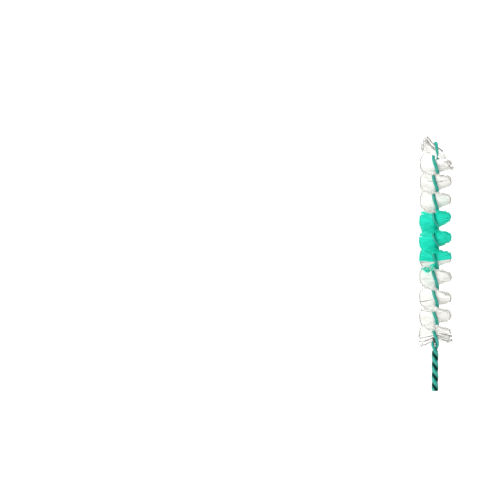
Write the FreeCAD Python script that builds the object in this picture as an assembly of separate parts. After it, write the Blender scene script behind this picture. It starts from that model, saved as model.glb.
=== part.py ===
import FreeCAD, Part
import math
import os

# An interdental brush of the refill kind. One coated steel wire is folded in half
# and its two legs are twisted together. Nylon filaments lie across the fold and are
# pinched between the legs, so that the twist fans them out, one fan each half turn.
# Below the lowest fan the bare twisted legs are the stem that a holder grips. There
# their coats are pressed together, so the stem is a rope of two rounds with a groove
# on each side.
# The origin is the centre of the stem's cut end and +Z runs up to the folded tip.

# Driving dimensions, in millimetres
OVERALL_LENGTH = 23.7  # cut end of the stem to the top of the fold
STEM_LENGTH = 4.4  # bare twisted wire below the lowest fan
NECK_LENGTH = 0.4  # top of the stem, where the legs part to take the filaments
BRUSH_DIAMETER = 3.1  # across the filament tips
CORE_DIAMETER = 0.25  # bare steel wire
COATING_WALL = 0.03  # polymer over the steel
STEM_LEG_GAP = 0.008  # between the legs' round coats in the stem, filled as they are pressed together
STEM_SPREAD = 0.016  # how far the pressed coat stands past the round legs
PRESSED_RADIUS = 0.27  # round of each leg's coat in the stem, swollen as the two are pressed together
STEM_TAPER = 0.3  # top of the pressed coat, where it narrows to the round legs
STEM_PITCH = 2.0  # one full turn of the legs in the stem
FAN_HEIGHT = 1.79  # half a turn of the legs in the head
FOLD_EASE = 0.6  # height below the fold over which the twist dies away
FILAMENT_DIAMETER = 0.05
FILAMENT_CLEARANCE = 0.01  # between filaments, and between filament and wire
DYED_START = 7.9  # from the lowest filament up to the dyed band
DYED_LENGTH = 4.65  # height of the dyed band
CUT_OVERRUN = 0.5  # how far the raw wire passes the cut end

# Angles and counts
ABREAST = 2  # filaments side by side at one height
SPLAY = math.radians(7)  # the filaments abreast lean apart, one up and one down
GATHER = math.radians(11)  # turn of the filaments towards the middle of their fan
FAN_LEAN = math.radians(3.5)  # rise of the right end over the left in the middle of each fan
FAN_SPREAD = math.radians(8)  # rise of both ends above the middle of a fan, and fall below it
TOP_LIFT = math.radians(12)  # rise of both ends towards the tip, from none at the stem
DROOP = math.radians(14)  # fall of both ends of the lowest filaments
LEAST_LIFT = math.radians(0.5)  # a filament with less is straight
TIP_LEAN = math.radians(28)  # extra lean of the topmost filaments, left end up
ARCS_PER_TURN = 6  # spans of two tangent arcs each

# Sizes that follow
COATED_DIAMETER = CORE_DIAMETER + 2 * COATING_WALL
STEM_RADIUS = (COATED_DIAMETER + STEM_LEG_GAP) / 2
ROPE_RADIUS = STEM_RADIUS + COATED_DIAMETER / 2 + STEM_SPREAD
SLOT = ABREAST * FILAMENT_DIAMETER + (ABREAST + 1) * FILAMENT_CLEARANCE
HEAD_RADIUS = (COATED_DIAMETER + SLOT) / 2 / math.cos(GATHER)
STEM_RATE = 2 * math.pi / STEM_PITCH
HEAD_RATE = math.pi / FAN_HEIGHT
FOLD_HEIGHT = OVERALL_LENGTH - HEAD_RADIUS - COATED_DIAMETER / 2
NECK_BOTTOM = STEM_LENGTH - NECK_LENGTH
EASE_BOTTOM = FOLD_HEIGHT - FOLD_EASE
SIDE_STEP = FILAMENT_DIAMETER + FILAMENT_CLEARANCE
ROW_STEP_LEAST = SIDE_STEP / math.cos(SPLAY + FAN_LEAN + TIP_LEAN)
ROWS_PER_FAN = int(FAN_HEIGHT / ROW_STEP_LEAST)
ROW_STEP = FAN_HEIGHT / ROWS_PER_FAN
TOP_ROW_LIMIT = FOLD_HEIGHT - SIDE_STEP


def twist_rate(z):
    """Turn of the legs per millimetre of height."""
    if z <= NECK_BOTTOM:
        return STEM_RATE
    if z <= STEM_LENGTH:
        return HEAD_RATE + (STEM_RATE - HEAD_RATE) * (STEM_LENGTH - z) / NECK_LENGTH
    if z <= EASE_BOTTOM:
        return HEAD_RATE
    return HEAD_RATE * (FOLD_HEIGHT - z) / FOLD_EASE


def turned(z):
    """Turn of the legs between the lowest filament and a height: the sum of the rate."""
    if z <= NECK_BOTTOM:
        neck_turn = (STEM_RATE + HEAD_RATE) / 2 * NECK_LENGTH
        return STEM_RATE * (z - NECK_BOTTOM) - neck_turn
    if z <= EASE_BOTTOM:
        mean_rate = (twist_rate(z) + HEAD_RATE) / 2
        return mean_rate * (z - STEM_LENGTH)
    mean_rate = (twist_rate(z) + HEAD_RATE) / 2
    return HEAD_RATE * (EASE_BOTTOM - STEM_LENGTH) + mean_rate * (z - EASE_BOTTOM)


def leg_radius(z):
    """Distance of a leg's centre line from the axis, and its slope."""
    part_way = min(max((z - NECK_BOTTOM) / NECK_LENGTH, 0), 1)
    widening = HEAD_RADIUS - STEM_RADIUS
    radius = STEM_RADIUS + widening * part_way * part_way * (3 - 2 * part_way)
    slope = widening * 6 * part_way * (1 - part_way) / NECK_LENGTH
    return radius, slope


def leg_angle(z):
    """Direction of the first leg from the axis. The twist is left-handed."""
    return math.pi - turned(z)


def leg_point(z):
    """Point on the first leg's centre line, and the direction of the leg there."""
    angle = leg_angle(z)
    radius, slope = leg_radius(z)
    outward = FreeCAD.Vector(math.cos(angle), math.sin(angle), 0)
    sideways = FreeCAD.Vector(math.sin(angle), -math.cos(angle), 0)
    up = FreeCAD.Vector(0, 0, 1)
    point = outward * radius + up * z
    tangent = outward * slope + sideways * (radius * twist_rate(z)) + up
    return point, tangent.normalize()


def tangent_arc(start, corner, end):
    """Arc from start to end whose two end tangents meet at the corner."""
    middle = (start + end) * 0.5
    half_chord = (end - start).Length / 2
    to_corner = corner - middle
    lean = math.atan2(to_corner.Length, half_chord)
    crown = middle + to_corner.normalize() * (half_chord * math.tan(lean / 2))
    return Part.Arc(start, crown, end).toShape()


def biarc(start, end):
    """Two tangent arcs between two points that each have a direction."""
    (p, p_way), (q, q_way) = start, end
    chord = q - p
    both = p_way + q_way
    spare = 2 * (1 - p_way.dot(q_way))
    reach = chord.dot(both)
    handle = (math.sqrt(reach * reach + spare * chord.dot(chord)) - reach) / spare
    p_corner = p + p_way * handle
    q_corner = q - q_way * handle
    joint = (p_corner + q_corner) * 0.5
    return [tangent_arc(p, p_corner, joint), tangent_arc(joint, q_corner, q)]


def heights(bottom, top):
    """Heights that part a stretch of the legs into short turns."""
    turns = abs(turned(top) - turned(bottom)) / (2 * math.pi)
    spans = max(math.ceil(turns * ARCS_PER_TURN), 2)
    return [bottom + (top - bottom) * i / spans for i in range(spans)]


def wire_path():
    """Centre line of the whole wire: up one leg, over the fold and down the other."""
    levels = heights(-CUT_OVERRUN, NECK_BOTTOM)
    levels += heights(NECK_BOTTOM, STEM_LENGTH)
    levels += heights(STEM_LENGTH, EASE_BOTTOM)
    levels += heights(EASE_BOTTOM, FOLD_HEIGHT)
    stations = [leg_point(z) for z in levels + [FOLD_HEIGHT]]
    first_leg = []
    for below, above in zip(stations, stations[1:]):
        first_leg += biarc(below, above)
    crown = FreeCAD.Vector(0, 0, FOLD_HEIGHT + HEAD_RADIUS)
    top = stations[-1][0]
    far_top = FreeCAD.Vector(-top.x, -top.y, top.z)
    fold = Part.Arc(top, crown, far_top).toShape()
    second_leg = []
    for edge in reversed(first_leg):
        turned_edge = edge.copy()
        turned_edge.rotate(FreeCAD.Vector(0, 0, 0), FreeCAD.Vector(0, 0, 1), 180)
        second_leg.append(turned_edge)
    return Part.Wire(first_leg + [fold] + second_leg)


def pipe(diameter):
    """Round bar along the wire's path."""
    path = wire_path()
    foot, way = leg_point(-CUT_OVERRUN)
    section = Part.Wire(Part.makeCircle(diameter / 2, foot, way))
    sweep = Part.BRepOffsetAPI.MakePipeShell(path)
    sweep.add(section)
    sweep.build()
    sweep.makeSolid()
    return sweep.shape()


def below_cut_end():
    """Block that takes away the raw wire below the cut end."""
    width = 4 * (HEAD_RADIUS + COATED_DIAMETER)
    depth = 4 * CUT_OVERRUN
    corner = FreeCAD.Vector(-width / 2, -width / 2, -depth)
    return Part.makeBox(width, width, depth, corner)


def rope_outline():
    """Section of the stem: two overlapping discs, one for each leg, with a groove on each side where they meet."""
    centre = ROPE_RADIUS - PRESSED_RADIUS
    groove = math.sqrt(PRESSED_RADIUS ** 2 - centre ** 2)
    edges = []
    for side in (1, -1):
        start = FreeCAD.Vector(0, -side * groove, 0)
        crest = FreeCAD.Vector(side * ROPE_RADIUS, 0, 0)
        end = FreeCAD.Vector(0, side * groove, 0)
        edges.append(Part.Arc(start, crest, end).toShape())
    return Part.Wire(edges)


def taper():
    """Cone that narrows the top of the pressed stem to the round legs."""
    length = NECK_BOTTOM + CUT_OVERRUN
    top = COATED_DIAMETER / 2
    base = top + (ROPE_RADIUS - top) * length / STEM_TAPER
    return Part.makeCone(base, top, length, FreeCAD.Vector(0, 0, -CUT_OVERRUN))


def pressed_stem():
    """The legs' coats in the stem, pressed together into one grooved rope that turns with the legs."""
    foot = FreeCAD.Vector(0, 0, -CUT_OVERRUN)
    length = NECK_BOTTOM + CUT_OVERRUN
    section = rope_outline()
    section.rotate(FreeCAD.Vector(0, 0, 0), FreeCAD.Vector(0, 0, 1), math.degrees(leg_angle(-CUT_OVERRUN)))
    section.translate(foot)
    axis = Part.Wire(Part.makeLine(foot, foot + FreeCAD.Vector(0, 0, length)))
    turn = Part.makeHelix(STEM_PITCH, length, ROPE_RADIUS, 0, True)
    turn.translate(foot)
    sweep = Part.BRepOffsetAPI.MakePipeShell(axis)
    sweep.setAuxiliarySpine(Part.Wire(turn.Edges), True, 0)
    sweep.add(section)
    sweep.build()
    sweep.makeSolid()
    return sweep.shape().common(taper())


def wire_core():
    """The folded and twisted steel wire."""
    return pipe(CORE_DIAMETER).cut(below_cut_end())


def wire_coating():
    """The polymer skin over the steel, open at the two cut ends."""
    skin = pipe(COATED_DIAMETER).fuse(pressed_stem())
    return skin.cut(below_cut_end()).cut(pipe(CORE_DIAMETER))


def tip_share(z):
    """How much of the tip's lean the filaments at a height have: none, then growing over the topmost fan."""
    part_way = (z - EASE_BOTTOM + FAN_HEIGHT) / FAN_HEIGHT
    return min(max(part_way, 0), 1)


def row_lean(z):
    """Rise of one end over the other: a little in each fan, and the other way at the tip."""
    return FAN_LEAN * math.sin(turned(z)) - TIP_LEAN * tip_share(z)


def row_lift(z):
    """Rise of both ends over the middle, as an angle: each fan spreads, and the lowest filaments droop."""
    head_share = (z - STEM_LENGTH) / (FOLD_HEIGHT - STEM_LENGTH)
    droop_share = max(1 - 2 * (z - STEM_LENGTH) / FAN_HEIGHT, 0)
    spread = FAN_SPREAD * math.sin(2 * turned(z))
    return (TOP_LIFT * head_share - spread) * (1 - tip_share(z)) - DROOP * droop_share


def rod(half, lift):
    """A filament along X about the origin, straight or bent to an arc whose two ends rise by the lift."""
    radius = FILAMENT_DIAMETER / 2
    origin = FreeCAD.Vector(0, 0, 0)
    along = FreeCAD.Vector(1, 0, 0)
    if abs(lift) < LEAST_LIFT:
        return Part.makeCylinder(radius, 2 * half, along * -half, along)
    centre = FreeCAD.Vector(0, 0, half / math.sin(2 * lift))
    hinge = FreeCAD.Vector(0, 1, 0)
    turn = math.degrees(2 * abs(lift))
    end = Part.Face(Part.Wire(Part.makeCircle(radius, origin, along)))
    end.rotate(centre, hinge, -turn)
    return end.revolve(centre, hinge, 2 * turn)


def filament(z, place):
    """One filament through the slot, at its place among those abreast."""
    origin = FreeCAD.Vector(0, 0, 0)
    share_across = 2 * place / (ABREAST - 1) - 1 if ABREAST > 1 else 0
    offset = share_across * (ABREAST - 1) / 2 * SIDE_STEP
    lean = row_lean(z) + share_across * SPLAY
    heading = leg_angle(z) - GATHER * math.sin(2 * turned(z)) - math.pi / 2
    solid = rod(math.sqrt((BRUSH_DIAMETER / 2) ** 2 - offset ** 2), row_lift(z))
    solid.rotate(origin, FreeCAD.Vector(0, -1, 0), math.degrees(lean))
    solid.translate(FreeCAD.Vector(0, offset, z))
    solid.rotate(origin, FreeCAD.Vector(0, 0, 1), math.degrees(heading))
    return solid


def fans():
    """The filaments, grouped by half turn and by colour, from the stem up."""
    groups = {}
    row = 0
    z = STEM_LENGTH + ROW_STEP / 2
    while z <= TOP_ROW_LIMIT:
        above_start = z - STEM_LENGTH - DYED_START
        colour = "teal" if 0 <= above_start <= DYED_LENGTH else "white"
        name = f"{colour}_fan_{row // ROWS_PER_FAN + 1:02d}"
        for place in range(ABREAST):
            groups.setdefault(name, []).append(filament(z, place))
        row += 1
        z = STEM_LENGTH + ROW_STEP * (row + 0.5)
    return {name: Part.Compound(solids) for name, solids in groups.items()}


os.makedirs("parts", exist_ok=True)
nodes = {"wire_core": wire_core(), "wire_coating": wire_coating(), **fans()}
for node, shape in nodes.items():
    shape.exportStep(f"parts/{node}.step")
    print(f"{node}: {len(shape.Solids)} solids, {shape.Volume:.4f} mm3, valid {shape.isValid()}")
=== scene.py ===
import math
import random

import bpy
import numpy as np
from mathutils import Matrix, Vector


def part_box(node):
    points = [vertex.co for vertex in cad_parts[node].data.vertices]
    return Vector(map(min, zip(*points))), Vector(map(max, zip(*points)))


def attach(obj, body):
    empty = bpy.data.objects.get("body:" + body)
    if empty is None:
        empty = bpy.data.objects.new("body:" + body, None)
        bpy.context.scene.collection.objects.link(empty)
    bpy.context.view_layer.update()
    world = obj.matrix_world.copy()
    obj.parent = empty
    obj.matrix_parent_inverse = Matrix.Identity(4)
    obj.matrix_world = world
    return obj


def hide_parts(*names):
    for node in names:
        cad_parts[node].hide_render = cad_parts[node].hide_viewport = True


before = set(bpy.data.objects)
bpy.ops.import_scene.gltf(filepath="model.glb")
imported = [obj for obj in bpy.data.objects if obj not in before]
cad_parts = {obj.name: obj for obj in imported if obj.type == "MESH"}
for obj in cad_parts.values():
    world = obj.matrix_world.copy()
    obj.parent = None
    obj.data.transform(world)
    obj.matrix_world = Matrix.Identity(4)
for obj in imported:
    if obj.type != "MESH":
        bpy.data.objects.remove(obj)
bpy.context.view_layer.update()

# An interdental brush: nylon filaments fanned out by a folded and twisted coated wire.
# It stands along +Z with the cut end of its stem at the origin. Lengths are in metres.

MM = 0.001
PHOTO_PIXEL = 0.0941 * MM  # size of one pixel of the photograph at the brush

# Places of the fans and the fold, as in the solids
FAN_HEIGHT = 1.79 * MM
FIRST_ROW = 4.4 * MM
BRUSH_RADIUS = 1.55 * MM
FOLD_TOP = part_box("wire_coating")[1].z
FANS = 11

# Turn of the stem's two legs: radians for each metre of height, and at the cut end
STEM_TWIST = math.pi / MM
STEM_START = math.radians(236.1)
GROOVE_FADE_LOW = 3.7 * MM  # the grooves' painted shade fades out between these heights
GROOVE_FADE_TOP = 4.2 * MM
GROOVE_FLOOR = -0.9  # cosines of twice the turn from a leg: where a groove's painted shade is darkest, and where it ends
GROOVE_RIM = 0.8

# Patterns in the surfaces, for each metre
CLOUDS = 3 / MM
DRAWING_MARKS = 30 / MM

# The slot between the wire's legs, and the dyed band
SLOT_HALF = 0.04 * MM
LEGS_STRAIGHT = FOLD_TOP - 0.379 * MM  # height where the legs stop turning
TWIST_EASE = 0.6 * MM  # height over which the twist dies away below that
TOP_FILAMENT = FOLD_TOP - 0.44 * MM
DYED_LOW = FIRST_ROW + 7.9 * MM
DYED_HIGH = FIRST_ROW + 7 * FAN_HEIGHT

# One filament
FILAMENT_DIAMETER = 0.05 * MM
FILAMENT_SIDES = 5
BEND_SHARES = (0.1, 0.4, 0.7)  # where it bends, as shares of its half length
TIP_SHARE = 0.97  # where its cut tip starts to round off
CUT_END_SHARE = 0.6  # width of the cut end, as a share of the filament's
NEAR_SHARE = 0.01  # a point this near to a ring, as a share of the half length, belongs to it
RING_SHARE = 0.95  # middle and half width of the grey ring of painted shade near each end
RING_HALF_SHARE = 0.02
BEND_SPREAD = 1.5  # how much a bend differs between filaments, in degrees
LENGTH_SPREAD = 0.012
SMOOTH_ANGLE = 80  # edges flatter than this are shaded smooth, in degrees

# How the filaments lie in a fan. Angles are in degrees.
SEED = 11
FILAMENTS_PER_FAN = 300
VARIANTS = 2  # shapes modelled for each kind of filament
GATHER = 13  # turn towards the middle of the fan
LEFT_SPLAY = 8  # rise of the left ends above the middle of the fan, and fall below it
RIGHT_SPLAY = 1
FAN_LIFTS = (4, -1, -3, 6, 8, 7, 11, 12, 11, 7, 0)  # rise of each fan's ends, from the stem to the tip
FAN_LEANS = (4, 5, 2, 1, 2, 7, 8, 3, 2, -2, 0)  # rise of each fan's right side over its left
LIFT_STEP = 2  # filaments are modelled at these steps of rise
RISE_SPREAD = 1
TURN_SPREAD = 3
LEAN_SPREAD = 1.5
CLUMP_LEAST = 8  # filaments that lie together in a clump
CLUMP_MOST = 20
CLUMP_TURN = 2
CLUMP_LEAN = 0.8

# The tip: the left ends stand up in a tuft, and the right ends hang together over the fan below
TIP_LEFT = ((20, 1), (27, 0.99), (33, 0.95), (39, 0.9), (46, 0.82))  # rise and reach of the left ends
# fall and reach of the right ends, from the lowest to the topmost
TIP_RIGHT = ((-28, 1.4), (-31, 1.25), (-31, 1.08), (-29, 0.92), (-25, 0.75), (-20, 0.6))
TIP_RIGHT_SAG = (-4, -3)  # further bends along the right ends
TIP_RIGHT_TURN = -45  # towards the front
TIP_GATHER = 0.25  # share of the wire's twist that they keep
TIP_MIXING = 1.2  # how far the left ends change places, in steps of TIP_LEFT
TIP_GAP = 0.8  # share of the fan below the tip above which it has no filaments
TIP_EDGE_LOW = 0.05  # shares of the tip below and above which a filament lies at its edge
TIP_EDGE_TOP = 0.92

# Loose strands below the lowest fan: the bends of their left and right ends, and how far those reach
HANGING_STRANDS = (
    ((-44, 18, 20), (-30, 10, 14), (1.1, 0.9)),
    ((-35, 12, 16), (-23, 4, 8), (0.96, 1.02)),
    ((-26, 6, 10), (-15, -2, 4), (1.08, 1.12)),
    ((-18, 2, 6), (-10, -4, 0), (1, 0.94)),
    ((-11, 0, 2), (-5, -6, -2), (1.06, 1.06)),
)
HANGING_PER_STRAND = 9
HANGING_LOW = 0.36  # shares of the lowest fan between which they leave the wire
HANGING_TOP = 0.6
HANGING_GATHER = 0.35  # share of the wire's twist that they keep
NECK = 40  # short filaments at the wire below them
NECK_LOW = -0.07  # the lowest of these, as a share of the lowest fan
NECK_REACH = 0.2

# Dyed filaments among and over the white ones at the foot of the fan where the dye starts
STRAY_FAN = 5
STRAY_TOP = 0.2  # share of the fan up to which they lie
STRAY_SHARE = 0.6  # share of the filaments there that are dyed
DROOPING = 70
DROOPING_BENDS = (-15, -4, 0)
DROOPING_RIGHT_REACH = 0.3
DROOPING_DEPTHS = (2, 9)  # how far below the dyed band they leave the wire, in filament diameters

# Share of the filaments that are grey along their whole length: painted shade, as dark lines and outlines
# among them
PAINTED_SHADE = 0.012
LOOSE_PAINTED_SHADE = 0.1
HANGING_PAINTED_SHADE = 0.25
EDGE_PAINTED_SHADE = 0.8

# The floor, and the picture's width in pixels
FLOOR_SIZE = 6
FLOOR_DROP = 30 * MM
PICTURE_WIDTH = 500


def srgb(text):
    """A linear colour from an sRGB hex value."""
    parts = [int(text[i:i + 2], 16) / 255 for i in (1, 3, 5)]
    return [c / 12.92 if c <= 0.04045 else ((c + 0.055) / 1.055) ** 2.4 for c in parts] + [1]


def node(tree, kind, links=None, inputs=None, **settings):
    """Adds a node with its settings and input values, and links inputs from other nodes' outputs."""
    made = tree.nodes.new(kind)
    for name, value in settings.items():
        setattr(made, name, value)
    for socket, value in (inputs or {}).items():
        made.inputs[socket].default_value = value
    for socket, (source, output) in (links or {}).items():
        tree.links.new(source.outputs[output], made.inputs[socket])
    return made


def new_material(name):
    """A material and its tree of nodes, which is still empty."""
    material = bpy.data.materials.new(name)
    material.use_nodes = True
    material.node_tree.nodes.clear()
    return material, material.node_tree


def nylon_filament(name, dull, bright, painted_shade):
    """Extruded nylon filament: satin and uneven in tone, with grey painted shade just short of its ends, or
    all along some filaments, for dark outlines.
    """
    material, tree = new_material(name)
    tone = node(tree, "ShaderNodeAttribute", attribute_name="tone")
    place = node(tree, "ShaderNodeAttribute", attribute_name="place")
    reach = node(tree, "ShaderNodeMath", {0: (place, "Fac")}, operation="ABSOLUTE")
    # painted shade: a grey ring just short of each end draws dark outlines at the ends of the fans
    end = node(tree, "ShaderNodeMath", {0: (reach, 0)}, {1: RING_SHARE, 2: RING_HALF_SHARE},
               operation="COMPARE")
    body = node(tree, "ShaderNodeMix", {"Factor": (tone, "Fac")}, {6: srgb(dull), 7: srgb(bright)},
                data_type="RGBA")
    # painted shade: a filament with a tone below 0 is grey all along, a dark line among the others
    whole = node(tree, "ShaderNodeMath", {0: (tone, "Fac")}, {1: 0}, operation="LESS_THAN")
    painted_shade_mask = node(tree, "ShaderNodeMath", {0: (end, 0), 1: (whole, 0)}, operation="MAXIMUM")
    colour = node(tree, "ShaderNodeMix", {"Factor": (painted_shade_mask, 0), 6: (body, 2)}, {7: srgb(painted_shade)},
                  data_type="RGBA")
    surface = node(tree, "ShaderNodeBsdfPrincipled", {"Base Color": (colour, 2)},
                   {"Roughness": 0.4, "IOR": 1.53, "Specular IOR Level": 0.3})
    node(tree, "ShaderNodeOutputMaterial", {"Surface": (surface, 0)})
    return material


def coated_wire(name):
    """Polymer coat on wire: glossy and a little cloudy, with painted shade in the grooves round the stem,
    which are darker there and without gloss.
    """
    material, tree = new_material(name)
    place = node(tree, "ShaderNodeTexCoord")
    axes = node(tree, "ShaderNodeSeparateXYZ", {0: (place, "Object")})
    around = node(tree, "ShaderNodeMath", {0: (axes, "Y"), 1: (axes, "X")}, operation="ARCTAN2")
    twist = node(tree, "ShaderNodeMath", {0: (axes, "Z"), 2: (around, 0)}, {1: STEM_TWIST},
                 operation="MULTIPLY_ADD")
    phase = node(tree, "ShaderNodeMath", {0: (twist, 0)}, {1: 2, 2: -2 * STEM_START},
                 operation="MULTIPLY_ADD")
    crest = node(tree, "ShaderNodeMath", {0: (phase, 0)}, operation="COSINE")
    above = node(tree, "ShaderNodeMapRange", {"Value": (axes, "Z")},
                 {"From Min": GROOVE_FADE_LOW, "From Max": GROOVE_FADE_TOP})
    rounded = node(tree, "ShaderNodeMapRange", {"Value": (crest, 0)},
                   {"From Min": GROOVE_FLOOR, "From Max": GROOVE_RIM})
    unshaded = node(tree, "ShaderNodeMath", {0: (rounded, 0), 1: (above, 0)}, operation="MAXIMUM")
    cloud = node(tree, "ShaderNodeTexNoise", {"Vector": (place, "Object")}, {"Scale": CLOUDS, "Detail": 3})
    skin = node(tree, "ShaderNodeMix", {"Factor": (cloud, "Fac")}, {6: srgb("#00877A"), 7: srgb("#04A08E")},
                data_type="RGBA")
    # painted shade: the coat turns dark in the grooves between the stem's legs
    colour = node(tree, "ShaderNodeMix", {"Factor": (unshaded, 0), 7: (skin, 2)}, {6: srgb("#01231D")},
                  data_type="RGBA")
    # painted shade: the gloss is taken away in the grooves, as if they hid reflections
    sheen = node(tree, "ShaderNodeMath", {0: (unshaded, 0)}, {1: 0.5}, operation="MULTIPLY")
    surface = node(tree, "ShaderNodeBsdfPrincipled",
                   {"Base Color": (colour, 2), "Specular IOR Level": (sheen, 0)},
                   {"Roughness": 0.15, "IOR": 1.6})
    node(tree, "ShaderNodeOutputMaterial", {"Surface": (surface, 0)})
    return material


def drawn_steel(name):
    """Cold-drawn steel wire, bright where it was sheared."""
    material, tree = new_material(name)
    place = node(tree, "ShaderNodeTexCoord")
    lines = node(tree, "ShaderNodeTexNoise", {"Vector": (place, "Object")}, {"Scale": DRAWING_MARKS})
    rough = node(tree, "ShaderNodeMapRange", {"Value": (lines, "Fac")}, {"To Min": 0.25, "To Max": 0.5})
    surface = node(tree, "ShaderNodeBsdfPrincipled", {"Roughness": (rough, 0)},
                   {"Base Color": srgb("#C3C4C6"), "Metallic": 1})
    node(tree, "ShaderNodeOutputMaterial", {"Surface": (surface, 0)})
    return material


def select_points(piece, chosen):
    """In edit mode, selects the points for which chosen is true."""
    bpy.ops.object.select_all(action="DESELECT")
    bpy.context.view_layer.objects.active = piece
    piece.select_set(True)
    bpy.ops.object.mode_set(mode="EDIT")
    bpy.ops.mesh.select_mode(type="VERT")
    bpy.ops.mesh.select_all(action="DESELECT")
    bpy.ops.object.mode_set(mode="OBJECT")
    for point in piece.data.vertices:
        point.select = chosen(point)
    bpy.ops.object.mode_set(mode="EDIT")


def straight_filament():
    """One filament along X with its pinch at the origin: rings at the bends, and rounded cut tips."""
    bpy.ops.object.select_all(action="DESELECT")
    bpy.ops.mesh.primitive_cylinder_add(vertices=FILAMENT_SIDES, radius=FILAMENT_DIAMETER / 2,
                                        depth=2 * BRUSH_RADIUS, rotation=(0, math.pi / 2, 0))
    blank = bpy.context.object
    bpy.ops.object.transform_apply(rotation=True)
    bpy.ops.object.mode_set(mode="EDIT")
    bpy.ops.mesh.select_mode(type="EDGE")
    bpy.ops.mesh.select_all(action="DESELECT")
    bpy.ops.object.mode_set(mode="OBJECT")
    for edge in blank.data.edges:
        ends = [blank.data.vertices[i].co.x for i in edge.vertices]
        edge.select = abs(ends[0] - ends[1]) > BRUSH_RADIUS
    bpy.ops.object.mode_set(mode="EDIT")
    rings = BEND_SHARES + (TIP_SHARE,)
    bpy.ops.mesh.subdivide(number_cuts=2 * len(rings))
    for number, share in enumerate(rings):
        evenly = (2 * number + 1) / (2 * len(rings) + 1)
        bpy.ops.object.mode_set(mode="OBJECT")
        select_points(blank, lambda p: abs(abs(p.co.x) / BRUSH_RADIUS - evenly) < NEAR_SHARE)
        bpy.ops.transform.resize(value=(share / evenly, 1, 1), center_override=(0, 0, 0))
    bpy.ops.object.mode_set(mode="OBJECT")
    select_points(blank, lambda p: abs(p.co.x) > (1 - NEAR_SHARE) * BRUSH_RADIUS)
    bpy.ops.transform.resize(value=(1, CUT_END_SHARE, CUT_END_SHARE), center_override=(0, 0, 0))
    bpy.ops.object.mode_set(mode="OBJECT")
    shares = [p.co.x / BRUSH_RADIUS for p in blank.data.vertices]
    blank.data.attributes.new("place", "FLOAT", "POINT").data.foreach_set("value", shares)
    blank.data.attributes.new("tone", "FLOAT", "POINT")
    return blank


def bent_filament(blank, kind, draw):
    """A copy of the straight filament, its ends drawn out to their reach and turned at their bends."""
    left, right, reach, right_turn = kind
    shape = blank.copy()
    shape.data = blank.data.copy()
    bpy.context.scene.collection.objects.link(shape)
    for side, turns, length in ((-1, left, reach[0]), (1, right, reach[1])):
        place = [p.value * side for p in shape.data.attributes["place"].data]
        select_points(shape, lambda p: place[p.index] > 0)
        bpy.ops.transform.resize(value=(length, 1, 1), center_override=(0, 0, 0))
        bpy.ops.object.mode_set(mode="OBJECT")
        for share, bend in zip(BEND_SHARES, turns):
            turn = draw.gauss(bend, BEND_SPREAD)
            ring = [p.co for p in shape.data.vertices if abs(place[p.index] - share) < NEAR_SHARE]
            pivot = np.mean(ring, axis=0)
            if share == BEND_SHARES[0]:
                pivot = np.zeros(3)
            select_points(shape, lambda p: place[p.index] > share - NEAR_SHARE)
            bpy.ops.transform.rotate(value=math.radians(turn) * side, orient_axis="Y",
                                     center_override=tuple(pivot))
            bpy.ops.object.mode_set(mode="OBJECT")
    if right_turn:
        select_points(shape, lambda p: place[p.index] > 0)
        bpy.ops.transform.rotate(value=-math.radians(right_turn), orient_axis="Z", center_override=(0, 0, 0))
        bpy.ops.object.mode_set(mode="OBJECT")
    return shape


def fan_direction(height, fan):
    """Turn from +X of the filaments at a height, left ends on the left. The twist is left-handed."""
    eased = max(height - (LEGS_STRAIGHT - TWIST_EASE), 0)
    turning = min(height, LEGS_STRAIGHT - TWIST_EASE) - FIRST_ROW + eased - eased * eased / (2 * TWIST_EASE)
    return math.pi * (fan - 0.5 - turning / FAN_HEIGHT)


def filament_copy(shape, height, turn, lean, length, offset, tone):
    """A copy of a bent filament, laid through the slot at its height."""
    copy = shape.copy()
    copy.data = shape.data.copy()
    bpy.context.scene.collection.objects.link(copy)
    copy.data.transform(
        Matrix.Translation((0, 0, height))
        @ Matrix.Rotation(turn, 4, "Z")
        @ Matrix.Translation((0, offset, 0))
        @ Matrix.Rotation(-lean, 4, "Y")
        @ Matrix.Diagonal((length, 1, 1, 1)))
    copy.data.attributes["tone"].data.foreach_set("value", [tone] * len(copy.data.vertices))
    return copy


def join_fan(name, copies, material):
    """One piece from a fan's filaments of one colour."""
    bpy.ops.object.select_all(action="DESELECT")
    for copy in copies:
        copy.select_set(True)
    bpy.context.view_layer.objects.active = copies[0]
    bpy.ops.object.join()
    fan = bpy.context.object
    fan.name = name
    fan.data.name = name
    bpy.ops.object.shade_smooth_by_angle(angle=math.radians(SMOOTH_ANGLE))
    fan.data.materials.clear()
    fan.data.materials.append(material)
    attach(fan, "root")
    return fan


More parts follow.
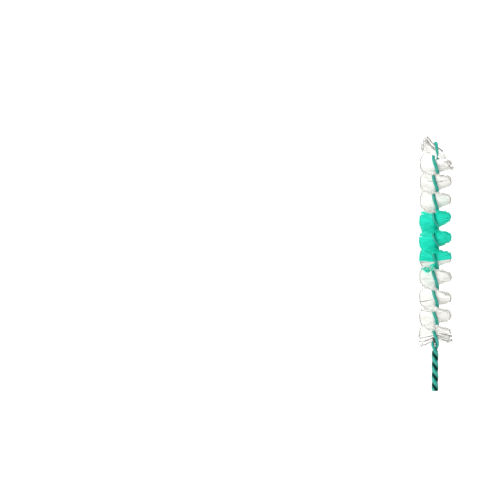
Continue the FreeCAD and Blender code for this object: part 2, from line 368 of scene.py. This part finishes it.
def plan_fans(draw):
    """Where each filament lies: its colour, fan, kind, height, turn, lean and tone."""
    plan = []

    def add(colour, fan, kind, height, turn, lean, painted_shade):
        # a tone of -1 makes the filament grey all along, as painted shade
        tone = -1 if draw.random() < painted_shade else draw.random()
        turn += math.radians(draw.gauss(0, TURN_SPREAD))
        plan.append((colour, fan, kind, height, turn, math.radians(draw.gauss(lean, LEAN_SPREAD)), tone))

    tip_low = FIRST_ROW + (FANS - 1) * FAN_HEIGHT
    count = int((TOP_FILAMENT - FIRST_ROW) / FAN_HEIGHT * FILAMENTS_PER_FAN)
    clump_left = 0
    for number in range(FILAMENTS_PER_FAN // 2, count):
        height = min(FIRST_ROW + (number + draw.random()) / FILAMENTS_PER_FAN * FAN_HEIGHT, TOP_FILAMENT)
        fan = int((height - FIRST_ROW) / FAN_HEIGHT) + 1
        share = (height - FIRST_ROW) / FAN_HEIGHT + 1 - fan
        stray = fan == STRAY_FAN and share < STRAY_TOP and draw.random() < STRAY_SHARE
        colour = "teal" if DYED_LOW <= height <= DYED_HIGH or stray else "white"
        if clump_left == 0:
            clump_left = draw.randint(CLUMP_LEAST, CLUMP_MOST)
            clump_turn = draw.gauss(0, CLUMP_TURN)
            clump_lean = draw.gauss(0, CLUMP_LEAN)
        clump_left -= 1
        direction = fan_direction(height, fan)
        if fan == FANS:
            # just under 1 at the top, so that the topmost filaments take the last row of each table
            up = min((height - tip_low) / (TOP_FILAMENT - tip_low), 0.99)
            step = int(up * len(TIP_LEFT) + draw.gauss(0, TIP_MIXING))
            rise, reach = TIP_LEFT[min(max(step, 0), len(TIP_LEFT) - 1)]
            fall, right_reach = TIP_RIGHT[int(up * len(TIP_RIGHT))]
            kind = ((rise, 0, 0), (fall,) + TIP_RIGHT_SAG, (reach, right_reach), TIP_RIGHT_TURN)
            # filaments at the tip's top and bottom edges are mostly grey: painted shade, as dark outlines of
            # the tuft and the hanging bundle
            painted_shade = EDGE_PAINTED_SHADE if up > TIP_EDGE_TOP or up < TIP_EDGE_LOW else LOOSE_PAINTED_SHADE
            add(colour, fan, kind, height, TIP_GATHER * direction, clump_lean, painted_shade)
        elif fan < FANS - 1 or share < TIP_GAP:
            # the filaments gather towards the middle of the fan, and rise above it or sink below it
            swing = math.sin(2 * math.pi * share)
            rises = [FAN_LIFTS[fan - 1] - splay * swing + draw.gauss(0, RISE_SPREAD)
                     for splay in (LEFT_SPLAY, RIGHT_SPLAY)]
            left, right = [LIFT_STEP * round(rise / LIFT_STEP) for rise in rises]
            kind = ((left, 0, 0), (right, 0, 0), (1, 1), 0)
            turn = direction + math.radians(clump_turn - GATHER * swing)
            add(colour, fan, kind, height, turn, FAN_LEANS[fan - 1] + clump_lean, PAINTED_SHADE)
    for strand, (left, right, reach) in enumerate(HANGING_STRANDS):
        share = HANGING_LOW + (HANGING_TOP - HANGING_LOW) * (strand + 0.5) / len(HANGING_STRANDS)
        for _ in range(HANGING_PER_STRAND):
            height = FIRST_ROW + share * FAN_HEIGHT + draw.uniform(-1, 1) * FILAMENT_DIAMETER
            turn = HANGING_GATHER * fan_direction(height, 1)
            add("white", 1, (left, right, reach, 0), height, turn, 0, HANGING_PAINTED_SHADE)
    for _ in range(NECK):
        height = FIRST_ROW + draw.uniform(NECK_LOW, HANGING_LOW) * FAN_HEIGHT
        kind = ((0, 0, 0), (0, 0, 0), (NECK_REACH, NECK_REACH), 0)
        # these stubs are all grey: painted shade that darkens the gap between the wire's legs
        add("white", 1, kind, height, fan_direction(height, 1), 0, 1)
    for _ in range(DROOPING):
        height = DYED_LOW - draw.uniform(*DROOPING_DEPTHS) * FILAMENT_DIAMETER
        turn = fan_direction(height, STRAY_FAN)
        kind = (DROOPING_BENDS, (0, 0, 0), (1, DROOPING_RIGHT_REACH), 0)
        add("teal", STRAY_FAN, kind, height, turn, 0, 0)
    return plan


def build_fans():
    """Models each kind of filament in a few variants, and copies them to their places."""
    draw = random.Random(SEED)
    plan = plan_fans(draw)
    blank = straight_filament()
    kinds = dict.fromkeys(row[2] for row in plan)
    shapes = {kind: [bent_filament(blank, kind, draw) for _ in range(VARIANTS)] for kind in kinds}
    groups = {}
    for colour, fan, kind, height, turn, lean, tone in plan:
        offset = draw.uniform(-1, 1) * SLOT_HALF
        shape = draw.choice(shapes[kind])
        length = draw.gauss(1, LENGTH_SPREAD)
        copy = filament_copy(shape, height, turn, lean, length, offset, tone)
        groups.setdefault((colour, fan), []).append(copy)
    # the third colour of each is the grey of its painted shade
    white = nylon_filament("natural_nylon_filament", "#FAF9F6", "#FFFEFC", "#6F6E6B")
    teal = nylon_filament("dyed_nylon_filament", "#08E2C6", "#2CF0D8", "#0BAE93")
    for (colour, fan), copies in groups.items():
        made = join_fan(f"{colour}_filaments_{fan:02d}", copies, teal if colour == "teal" else white)
        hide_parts(f"{colour}_fan_{fan:02d}")
    for shape in [blank] + [shape for alike in shapes.values() for shape in alike]:
        bpy.data.objects.remove(shape)


def dress_wire():
    """The wire keeps the meshes of its solids and gets its two materials."""
    for name, material in (("wire_coating", coated_wire("polymer_coated_wire")),
                           ("wire_core", drawn_steel("drawn_steel_wire"))):
        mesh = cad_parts[name].data
        mesh.materials.clear()
        mesh.materials.append(material)


def rays_that_see(tree):
    """A factor of 1 for the rays that show the backdrop: camera, glossy and transmission rays."""
    path = node(tree, "ShaderNodeLightPath")
    seen = node(tree, "ShaderNodeMath", {0: (path, "Is Camera Ray"), 1: (path, "Is Glossy Ray")},
                operation="MAXIMUM")
    return node(tree, "ShaderNodeMath", {0: (seen, 0), 1: (path, "Is Transmission Ray")},
                operation="MAXIMUM")


def lay_floor():
    """Pale paper well below the stem. A glow for the rays that show it brings it up to white."""
    bpy.ops.object.select_all(action="DESELECT")
    bpy.ops.mesh.primitive_plane_add(size=FLOOR_SIZE, location=(0, 0, -FLOOR_DROP))
    floor = bpy.context.object
    floor.name = "floor"
    material, tree = new_material("white_paper")
    paper = node(tree, "ShaderNodeBsdfDiffuse", None, {"Color": srgb("#D2D2D0")})
    missing = (0.31, 0.31, 0.31, 1)
    glow = node(tree, "ShaderNodeEmission", {"Strength": (rays_that_see(tree), 0)}, {"Color": missing})
    both = node(tree, "ShaderNodeAddShader", {0: (paper, 0), 1: (glow, 0)})
    node(tree, "ShaderNodeOutputMaterial", {"Surface": (both, 0)})
    floor.data.materials.append(material)


def sun(name, energy, angle, tilt, turn):
    """A sun lamp with soft shadows. Its width, its tilt from overhead and its turn are in degrees."""
    lamp = bpy.data.objects.new(name, bpy.data.lights.new(name, "SUN"))
    lamp.data.energy = energy
    lamp.data.angle = math.radians(angle)
    lamp.rotation_euler = (math.radians(tilt), 0, math.radians(turn))
    bpy.context.scene.collection.objects.link(lamp)


def set_light():
    """Soft light, brightest from the upper left, a large key lamp at the left front, and weaker lamps
    at the left back and above. Reflections show a room that is dim in front and white behind."""
    brightest_from = (-0.55, -0.15, 0.82)
    dim = (0.2, 0.175, 0.15, 1)
    bright = (1.42, 1.42, 1.4, 1)
    grey = (0.15, 0.15, 0.15, 1)
    white = (1, 1, 1, 1)
    world = bpy.data.worlds.new("studio")
    bpy.context.scene.world = world
    world.use_nodes = True
    tree = world.node_tree
    tree.nodes.clear()
    way = node(tree, "ShaderNodeTexCoord")
    axes = node(tree, "ShaderNodeSeparateXYZ", {0: (way, "Generated")})
    slope = node(tree, "ShaderNodeVectorMath", {0: (way, "Generated")}, {1: brightest_from},
                 operation="DOT_PRODUCT")
    lit = node(tree, "ShaderNodeMapRange", {"Value": (slope, "Value")}, {"From Min": -1, "From Max": 1})
    soft = node(tree, "ShaderNodeMix", {"Factor": (lit, 0)}, {6: dim, 7: bright}, data_type="RGBA")
    behind = node(tree, "ShaderNodeMapRange", {"Value": (axes, "Y")}, {"From Min": -0.3, "From Max": 0.3})
    room = node(tree, "ShaderNodeMix", {"Factor": (behind, 0)}, {6: grey, 7: white}, data_type="RGBA")
    path = node(tree, "ShaderNodeLightPath")
    diffuse = node(tree, "ShaderNodeMix", {"Factor": (path, "Is Diffuse Ray"), 6: (room, 2), 7: (soft, 2)},
                   data_type="RGBA")
    colour = node(tree, "ShaderNodeMix", {"Factor": (path, "Is Camera Ray"), 6: (diffuse, 2)}, {7: white},
                  data_type="RGBA")
    sky = node(tree, "ShaderNodeBackground", {"Color": (colour, 2)})
    node(tree, "ShaderNodeOutputWorld", {"Surface": (sky, 0)})
    sun("key", energy=1.6, angle=40, tilt=80, turn=-42)
    sun("rim", energy=1.0, angle=40, tilt=75, turn=-110)
    sun("fill", energy=0.8, angle=90, tilt=15, turn=40)


def set_camera():
    """A long lens in front of the brush and a little above it, which frames it as the photograph does."""
    elevation = math.radians(8)
    lens = 600
    sensor = 36
    distance = PICTURE_WIDTH * PHOTO_PIXEL * lens / sensor
    # the brush's axis, the end of its stem and the middle of the picture, in pixels
    axis_column = 435.4
    stem_row = 391.0
    centre = PICTURE_WIDTH / 2
    across = (centre - axis_column) * PHOTO_PIXEL
    up = (stem_row - centre) * PHOTO_PIXEL / math.cos(elevation)
    aim = np.array([across, 0, up])
    data = bpy.data.cameras.new("camera")
    data.lens = lens
    data.sensor_width = sensor
    data.clip_start = 0.01
    data.clip_end = 20
    camera = bpy.data.objects.new("camera", data)
    camera.location = aim + distance * np.array([0, -math.cos(elevation), math.sin(elevation)])
    camera.rotation_euler = (math.pi / 2 - elevation, 0, 0)
    bpy.context.scene.collection.objects.link(camera)
    bpy.context.scene.camera = camera


bpy.context.scene.view_settings.view_transform = "Standard"
set_camera()
set_light()
lay_floor()
dress_wire()
build_fans()
